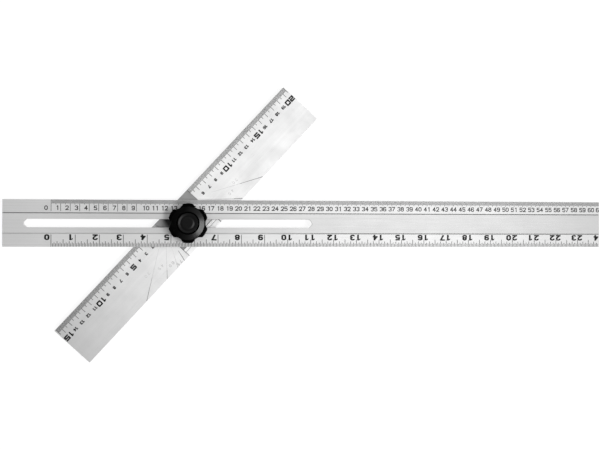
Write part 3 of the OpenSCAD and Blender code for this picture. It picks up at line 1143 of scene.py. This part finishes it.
# %% Knob
HOLLOWS = 6
HOLLOW_DEEP = 3.0
HOLLOW_R = 7.0
SOFT = 1.9
knob_low, knob_high = local_box("knob_body", clamp_frame)
cap_low, cap_high = local_box("knob_cap", clamp_frame)
KNOB_R = knob_high.x
LOBE_Z = 12.0
PARTING_Z = 17.0
INSERT_TOP = 18.0
POCKET_Z = 22.0
TOP_Z = knob_high.z
SHOULDER_Z = TOP_Z - 3.0
POCKET_R = cap_high.x + 0.6
BOSS_R = 10.0
INSERT_R = 6.0
DOME_R = 17.7
DOME_DROP = 1.25
hollow_centre = KNOB_R - HOLLOW_DEEP + HOLLOW_R


def knob_radius(radius, angle, height):
    """The radius after the hollows, blended over a short distance."""
    if height < LOBE_Z - CLOSE or radius < POCKET_R + 2:
        return radius
    sector = 2 * math.pi / HOLLOWS
    off = (angle + sector / 2) % sector - sector / 2
    side = hollow_centre * math.sin(off)
    if abs(side) >= HOLLOW_R:
        return radius
    hollow = hollow_centre * math.cos(off) - math.sqrt(HOLLOW_R ** 2 - side ** 2)
    near = max(0.0, SOFT - abs(radius - hollow))
    return min(radius, hollow) - near ** 2 / (4 * SOFT)


def arc(centre, radius, start, end, steps):
    """Points along a round stretch, between two angles in degrees."""
    turns = [math.radians(start + (end - start) * k / steps) for k in range(steps + 1)]
    return [(centre[0] + radius * math.cos(a), centre[1] + radius * math.sin(a)) for a in turns]


outline = rounded([(BORE_R, POCKET_Z, 0), (POCKET_R, POCKET_Z, 0.2), (POCKET_R, TOP_Z - 0.9, 0.2),
                   (POCKET_R + 0.9, TOP_Z, 0.3), (DOME_R, TOP_Z - DOME_DROP, 0.6),
                   (DOME_R + 0.5, SHOULDER_Z, 0.3), (19.3, SHOULDER_Z - 0.05, 0)], closed=False)
outline += arc((KNOB_R - 1.5, SHOULDER_Z - 1.55), 1.4, 80, 0, 7)
outline += [(KNOB_R - inset, PARTING_Z + up) for inset, up in
            ((0.08, 0.9), (0.06, 0.12), (0, 0.06), (0, -0.06), (0.06, -0.12))]
outline += arc((KNOB_R - 1.6, LOBE_Z + 1.5), 1.5, 0, -90, 6)
outline += [(18.5, LOBE_Z), (15.0, LOBE_Z)]
outline += rounded([(15.0, LOBE_Z, 0), (BOSS_R, LOBE_Z, 0.8), (BOSS_R, knob_low.z, 0.4),
                    (INSERT_R, knob_low.z, 0.1), (INSERT_R, INSERT_TOP, 0),
                    (BORE_R, INSERT_TOP, 0)], closed=False)[1:]
finished("star_knob", lathe(outline, 240, knob_radius), clamp_frame, knob_plastic, "knob",
         "knob_body")

# %% [markdown]
# The cap closes the knob's pocket. A round channel separates its raised disc from its rim. The
# rim slopes down to the channel and the disc falls off to it, so both catch a thin arc of light.

# %% Cap
RIM_IN = 10.1
CHANNEL_OUT = 8.0
DISC_R = 7.0
CHANNEL = 0.9
cap_outline = [(0, cap_low.z), *rounded(
    [(0, cap_low.z, 0), (cap_high.x, cap_low.z, 0.2), (cap_high.x, cap_high.z, 0.45),
     (RIM_IN, cap_high.z, 0.2), (CHANNEL_OUT, cap_high.z - 0.5, 0.15),
     (CHANNEL_OUT - 0.3, cap_high.z - CHANNEL, 0.2), (DISC_R + 0.3, cap_high.z - CHANNEL, 0.2),
     (DISC_R, cap_high.z - 0.5, 0.3), (5.2, cap_high.z - 0.1, 0.6), (0, cap_high.z - 0.05, 0)],
    closed=False)[1:]]
finished("knob_cover", lathe(cap_outline, 128), clamp_frame, cap_plastic, "knob",
         "knob_cap")

# %% [markdown]
# The object lies on a pale floor. The photograph's background is pure white, so the floor and
# the sky are white to the camera and in reflections, but only there: the light on the object
# stays plain. The floor still darkens under the object, because part of it is ordinary diffuse.
# Seen from below it is clear, so that the underside can be looked at too.

# %% Floor and sky
FLOOR_SIZE = 8.0
FLOOR_GREY = (0.8, 0.8, 0.8, 1)
FLOOR_FAINT = (0.25, 0.25, 0.25, 1)
FLOOR_GLOW = 0.80
SKY_LIGHT = 0.80
SKY_LOW = 0.62
SKY_HIGH = 0.78
SKY_EDGE = 0.1
SKY_RISE = (0.85, 0.99)
SKY_FADE = (0.55, 0.87)
BRIGHT_SIDE = Vector((0.20, 0.26, 0.95)).normalized()

floor_mesh = bpy.data.meshes.new("floor")
half = FLOOR_SIZE / 2
floor_mesh.from_pydata([(-half, -half, 0), (half, -half, 0), (half, half, 0), (-half, half, 0)],
                       [], [(0, 1, 2, 3)])
floor_mesh.transform(Matrix.Translation((0, 0, cad_box[0].z - 0.0001)))
floor = linked("floor", floor_mesh)


def seen_rays(tree):
    """1 for what the camera, a reflection or a view through glass sees, and 0 for light."""
    rays = node(tree, "ShaderNodeLightPath")
    seen = maths("MAXIMUM", rays["Is Camera Ray"], rays["Is Glossy Ray"])
    return maths("MAXIMUM", seen, rays["Is Transmission Ray"])


paper = bpy.data.materials.new("floor_paper")
paper.use_nodes = True
tree = paper.node_tree
tree.nodes.clear()
matte = node(tree, "ShaderNodeBsdfDiffuse", {"Color": FLOOR_GREY})[0]
faint = node(tree, "ShaderNodeBsdfDiffuse", {"Color": FLOOR_FAINT})[0]
glow = node(tree, "ShaderNodeEmission", {"Strength": FLOOR_GLOW})[0]
shown = node(tree, "ShaderNodeAddShader", {0: faint, 1: glow})[0]
surface = node(tree, "ShaderNodeMixShader", {0: seen_rays(tree), 1: matte, 2: shown})[0]
clear = node(tree, "ShaderNodeBsdfTransparent")[0]
below = node(tree, "ShaderNodeNewGeometry")["Backfacing"]
surface = node(tree, "ShaderNodeMixShader", {0: below, 1: surface, 2: clear})[0]
node(tree, "ShaderNodeOutputMaterial", {"Surface": surface})
floor_mesh.materials.append(paper)

sky = bpy.data.worlds.new("studio")
sky.use_nodes = True
tree = sky.node_tree
tree.nodes.clear()
direction = node(tree, "ShaderNodeTexCoord")["Generated"]
towards = vector_maths("DOT_PRODUCT", direction, BRIGHT_SIDE, output="Value")
rays = node(tree, "ShaderNodeLightPath")
reflected = times(remap(towards, *SKY_RISE, SKY_LOW, SKY_HIGH),
                  remap(towards, *SKY_FADE, SKY_EDGE, 1.0))
strength = node(tree, "ShaderNodeMix", {0: seen_rays(tree), 2: SKY_LIGHT, 3: reflected})[0]
strength = node(tree, "ShaderNodeMix", {0: rays["Is Camera Ray"], 2: strength, 3: 1.0})[0]
white = node(tree, "ShaderNodeBackground", {"Color": (1, 1, 1, 1), "Strength": strength})[0]
node(tree, "ShaderNodeOutputWorld", {"Surface": white})
bpy.context.scene.world = sky
print("sky to diffuse light:", SKY_LIGHT)

# %% [markdown]
# One soft box is enough. It hangs high, on the far side of the numbers that grow: a brushed
# plate seen from above mirrors what is over it, so the box makes the upper right of the head
# bright and lets the lower left fall off. It also draws the grey highlight on the knob's dome.

# %% Lamps
def soft_box(name, at, aim, size, power):
    """An area lamp of this size at one place, aimed at another."""
    lamp = adjust(bpy.data.lights.new(name, "AREA"), shape="RECTANGLE", size=size[0],
                  size_y=size[1], energy=power)
    turn = (Vector(aim) - Vector(at)).to_track_quat("-Z", "Y")
    adjust(linked(name, lamp), location=at, rotation_euler=turn.to_euler())


soft_box("key_box", at=(0.62, -0.19, 1.13), aim=(0.15, -0.02, 0.0), size=(0.60, 0.30), power=6.0)
bpy.context.scene.view_settings.view_transform = "Standard"
